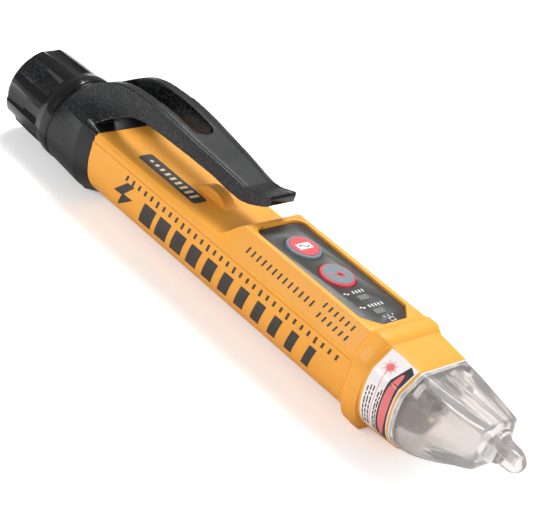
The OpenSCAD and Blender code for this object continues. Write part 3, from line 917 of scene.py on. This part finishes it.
def wrapped(name, outlines, low, high, material_slot, material, step=0.7):
    """Thin film with the given (x, s) outlines laid round the housing's -Y side."""
    bm = bmesh.new()
    for outline in outlines:
        bm.faces.new([bm.verts.new((px, ps, 0)) for px, ps in outline])
    reach = [c for outline in outlines for _, c in outline]
    s = min(reach) + step
    while s < max(reach):
        geometry = bm.verts[:] + bm.edges[:] + bm.faces[:]
        bmesh.ops.bisect_plane(bm, geom=geometry, plane_co=(0, s, 0), plane_no=(0, 1, 0))
        s += step
    raised = bmesh.ops.extrude_face_region(bm, geom=bm.faces[:])["geom"]
    for v in raised:
        if isinstance(v, bmesh.types.BMVert):
            v.co.z = 1
    for v in bm.verts:
        v.co = place(*on_side(v.co.x, v.co.y, high if v.co.z > 0.5 else low))
    return finish_piece(from_bmesh(name, bm), "housing", material_slot, material)


def slanted(x, s0, s1, width, lean):
    """A bar from s0 to s1 that leans forward at its s0 end."""
    return [(x + lean, s0), (x + lean + width, s0), (x + width, s1), (x, s1)]


def build_side_print():
    """Generic marks: a bolt, slanted bars, a scale of ticks above them and on the keypad's flank."""
    bolt = [(53.5, 2.9), (49.0, 7.6), (52.2, 7.4), (50.2, 12.0), (56.4, 6.6), (52.9, 6.7), (56.2, 2.9)]
    bars = [slanted(59 + 6.2 * k, 4.2, 11.2, 4.6 - 0.22 * k, 2.0) for k in range(11)]
    wrapped("side_bars", bars + [bolt], -0.02, 0.03, "panel", BLACK_INK)
    ticks = [slanted(45 + 2.45 * k, 0.9, 2.7 if k % 4 else 3.1, 0.75, 0.4) for k in range(36)]
    wrapped("side_ticks", ticks[3:], -0.02, 0.03, "panel", BLACK_INK)
    flank = [slanted(95 + 1.9 * k, -5.4, -3.6, 0.55, 0.3) for k in range(13)]
    flank += [slanted(121 + 1.9 * k, -7.0, -5.5, 0.55, 0.3) for k in range(6)]
    flank += [slanted(121 + 1.9 * k, -4.2, -2.7, 0.55, 0.3) for k in range(6)]
    wrapped("flank_ticks", flank, -0.02, 0.03, "panel", BLACK_INK)


def build_nose_label():
    rear, front, top, low = 141.7, 150.2, -9.1, 16.0
    film = [(rear, top), (front, top), (front, low), (rear, low)]
    label = wrapped("nose_film", [film], -0.02, 0.06, "label", LABEL)
    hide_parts("nose_label")
    block = [(148.2, top + 0.6), (149.9, top + 1.6), (149.9, low - 1), (146.8, low - 2), (146.8, top + 6)]
    wrapped("label_block", [block], 0.05, 0.09, "panel", BLACK_INK)
    turns = [2 * math.pi * k / 40 for k in range(40)]
    oval = [(148.35 + 1.1 * math.cos(t), 3.6 + 9.6 * math.sin(t)) for t in turns]
    wrapped("label_oval", [oval], 0.08, 0.12, "red_print", PINK_INK)
    source = (144.6, -5.4)
    marks = burst(*source, 0.5, 2.1, 16, 0.35) + [circle(*source, 0.85, 20)]
    wrapped("label_burst", marks, 0.05, 0.09, "red_print", PINK_INK)
    beam = stroke([source, (145.0, 0.0), (144.9, 6.0), (144.6, 13.0)], 0.16)
    wrapped("label_beam", [beam], 0.05, 0.09, "red_print", PINK_INK)
    rows = []
    for x, first, last in ((142.4, 1.4, 12.6), (143.2, 0.6, 13.4), (144.0, 0.4, 12.0),
                           (145.6, 1.0, 14.0), (146.2, 0.0, 13.2)):
        s = first
        k = 0
        while s < last:
            length = (1.5, 0.9, 2.1, 1.2)[k % 4]
            rows.append([(x, s), (x + 0.34, s), (x + 0.34, s + length), (x, s + length)])
            s += length + 0.4
            k += 1
    wrapped("label_rows", rows, 0.05, 0.09, "panel", BLACK_INK)


def build_gasket():
    base = section(7.95, 25.72, 12.92, 21.25, 13.34, 19.3, 3.08, 2.3)
    core = section(6.9, 23.8, 11.0, 20.3, 11.4, 19.2, 5.1, 2.3)
    low, high = NOSE_END + 0.03, NOSE_END + 0.38
    rings = [[(x, y, z) for y, z in polar(outline, TIP_AXIS_Z, TIP_COUNT)]
             for x, outline in ((low, core), (low, base), (high, base), (high, core))]
    obj = loft("gasket_ring", rings, loop=True)
    shade(obj, 30)
    return finish_piece(obj, "housing", "gasket", SILICONE, replaces=["tip_gasket"])


def build_badge():
    corners = ((71.5, -4.8, 0), (51, -4.8, 90), (51, -7.6, 180), (71.5, -7.6, 270))
    outline = [p for x, y, start in corners for p in circle(x, y, 1.0, 6, start, 90)]
    badge = flat_shape("badge_plate", [outline], DECK_Z + 0.005, 0.09, "housing", "panel", FILM)
    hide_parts("deck_badge")
    marks = []
    for k in range(9):
        x, middle, tall = 52.6 + 2.1 * k, -6.2, 0.5 + 0.13 * k
        low, high = middle - tall, middle + tall
        marks.append([(x, low), (x + 0.9, low), (x + 0.9, high), (x, high)])
    flat_shape("badge_bars", marks, DECK_Z + 0.085, 0.03, "housing", "label", CREAM_INK)


def wave(x, y, width, height, pen):
    """One full wave drawn across, as for alternating current."""
    steps = 16
    turns = [k / steps for k in range(steps + 1)]
    return stroke([(x - height * math.sin(2 * math.pi * t), y + width * (t - 0.5)) for t in turns], pen)


def build_key_marks():
    """Generic symbols: a current wave on the power key, a burst and beam on the laser key."""
    top = PANEL_Z + 0.65
    corners = ((0.85, 2.0, 0), (-0.85, 2.0, 90), (-0.85, -2.0, 180), (0.85, -2.0, 270))
    tile = [p for x, y, start in corners for p in circle(POWER_X + x, y, 0.3, 4, start, 90)]
    flat_shape("power_tile", [tile], top - 0.01, 0.04, "power_key", "label", WHITE_INK)
    current = wave(POWER_X, 0, 3.2, 0.55, 0.32)
    flat_shape("power_wave", [current], top + 0.02, 0.03, "power_key", "panel", BLACK_INK)
    centre = (LASER_X + 0.4, 0.5)
    marks = burst(*centre, 0.4, 1.9, 16, 0.3) + [circle(*centre, 0.6, 16)]
    marks.append(stroke([centre, (LASER_X - 0.9, -3.3)], 0.26))
    flat_shape("laser_burst", marks, top - 0.01, 0.04, "laser_key", "red_print", RED_INK)
    marks = []
    for k, x in enumerate(INDICATOR_X):
        marks.append(wave(x - 2.3, -3.6, 1.6, 0.3, 0.28))
        for i in range(4 + k):
            y = 1.1 * i - 1.4
            marks.append([(x - 2.8, y), (x - 1.8, y), (x - 1.8, y + 0.4), (x - 2.8, y + 0.4)])
    lamp = [(132.0, 0.1), (133.2, 0.1), (133.2, 1.7), (132.0, 1.7)]
    marks.append(stroke(lamp + [lamp[0]], 0.22))
    for y, lean in ((-0.5, -0.25), (0.9, 0.0), (2.3, 0.25)):
        marks.append(stroke([(131.5, y), (130.9, y + lean)], 0.22))
    flat_shape("panel_marks", marks, PANEL_Z - 0.005, 0.035, "housing", "label", WHITE_INK)


# ---------------------------------------------------------------- small CAD nodes kept as they are
# node: material slot, material, and the width in mm that its edges are rounded by
KEPT = {
    "power_button_face": ("red_print", RED_INK, 0.05),
    "laser_button_face": ("grey_print", GREY_INK, 0.05),
    "indicator_light_pipes": ("light_pipe", SMOKED, 0.12),
    "indicator_leds": ("led_white", WHITE_PLASTIC, 0.1),
    "power_switch": ("black_component", COMPONENT, 0.15),
    "laser_switch": ("black_component", COMPONENT, 0.15),
    "circuit_board": ("board", BOARD, 0.1),
    "controller_chips": ("black_component", COMPONENT, 0.12),
    "beeper": ("black_component", COMPONENT, 0.3),
    "laser_module": ("brass", BRASS, 0.15),
    "laser_lens": ("lens", LENS, 0.1),
    "work_light": ("led_white", LED_CLEAR, 0.1),
    "signal_light": ("led_red", LED_CLEAR, 0.1),
    "antenna_strip": ("plated_metal", NICKEL, 0.04),
    "battery_bulkhead": ("black_plastic", BLACK_SATIN, 0.2),
    "front_contacts": ("plated_metal", NICKEL, 0.1),
    "left_cell": ("cell_jacket", JACKET, 0.3),
    "right_cell": ("cell_jacket", JACKET, 0.3),
    "cap_o_ring": ("seal", SEAL, 0),
    "contact_screw": ("plated_metal", NICKEL, 0.1),
    "cap_contact_plate": ("plated_metal", NICKEL, 0.1),
    "cap_springs": ("plated_metal", NICKEL, 0),
}


def dress_kept_nodes():
    for name, (slot_name, material, radius) in KEPT.items():
        obj = nodes[name]
        obj.data.materials.clear()
        obj.data.materials.append(material)
        if radius:
            flat = obj.modifiers.new("Flat", "DECIMATE")
            flat.decimate_type = "DISSOLVE"
            flat.angle_limit = math.radians(1)
            bevel = obj.modifiers.new("Bevel", "BEVEL")
            bevel.limit_method = "ANGLE"
            bevel.angle_limit = math.radians(35)
            bevel.width = radius * MM
            bevel.segments = 2


# ---------------------------------------------------------------- camera, light and floor
def build_stage():
    aim = Vector((0.00115, 0.0028, 0.0143))
    azimuth, elevation, roll = math.radians(36.49), math.radians(29.27), math.radians(20.26)
    distance = 0.48
    level = math.cos(elevation)
    back = Vector((math.sin(azimuth) * level, -math.cos(azimuth) * level, math.sin(elevation)))
    data = bpy.data.cameras.new("camera")
    data.lens = 130.56
    data.sensor_width = 36
    data.clip_start = 0.01
    camera = new_object("camera", data)
    camera.location = aim + back * distance
    camera.rotation_mode = "QUATERNION"
    camera.rotation_quaternion = (-back).to_track_quat("-Z", "Y") @ Euler((0, 0, roll)).to_quaternion()
    scene.camera = camera

    bpy.ops.mesh.primitive_plane_add(size=6, location=(0, 0, 0))
    floor = bpy.context.object
    floor.name = "floor"
    s = Shader("pale_floor")
    s.put(Roughness=0.9)
    s.color(s.ramp(s.noise(3, 2), [(0.3, (0.90, 0.90, 0.90, 1)), (0.7, (0.93, 0.93, 0.93, 1))]))
    # the camera sees the floor and the sky nearly white, as in a studio; the object doesn't
    seen = s.tree.nodes.new("ShaderNodeLightPath").outputs["Is Camera Ray"]
    s.put(Emission_Color=(1, 1, 1, 1))
    s.vary("Emission Strength", seen, 0.0, 0.4)
    floor.data.materials.append(s.material)

    world = bpy.data.worlds.new("world")
    world.use_nodes = True
    tree = world.node_tree
    background = tree.nodes["Background"]
    background.inputs["Color"].default_value = (1, 1, 1, 1)
    path = tree.nodes.new("ShaderNodeLightPath")
    strength = tree.nodes.new("ShaderNodeMapRange")
    strength.inputs["To Min"].default_value = 0.3
    tree.links.new(path.outputs["Is Camera Ray"], strength.inputs["Value"])
    tree.links.new(strength.outputs["Result"], background.inputs["Strength"])
    scene.world = world
    # name, place in metres, side of the square in metres, watts
    lights = (("key", (-0.3, 0.3, 0.75), 0.4, 7.0), ("fill", (-0.25, -0.8, 0.45), 0.3, 3.4),
              ("rim", (0.7, 0.4, 0.5), 0.4, 4.0))
    for name, location, size, power in lights:
        light = bpy.data.lights.new(name, "AREA")
        light.size = size
        light.energy = power
        obj = new_object(name, light)
        obj.location = location
        obj.rotation_mode = "QUATERNION"
        obj.rotation_quaternion = (aim - Vector(location)).to_track_quat("-Z", "Y")
    scene.view_settings.view_transform = "Standard"


build_stage()
build_lower_housing()
build_upper_housing()
build_collar()
build_clip()
build_cap()
build_tip()
build_keypad()
build_key_marks()
build_badge()
build_side_print()
build_nose_label()
build_gasket()
dress_kept_nodes()
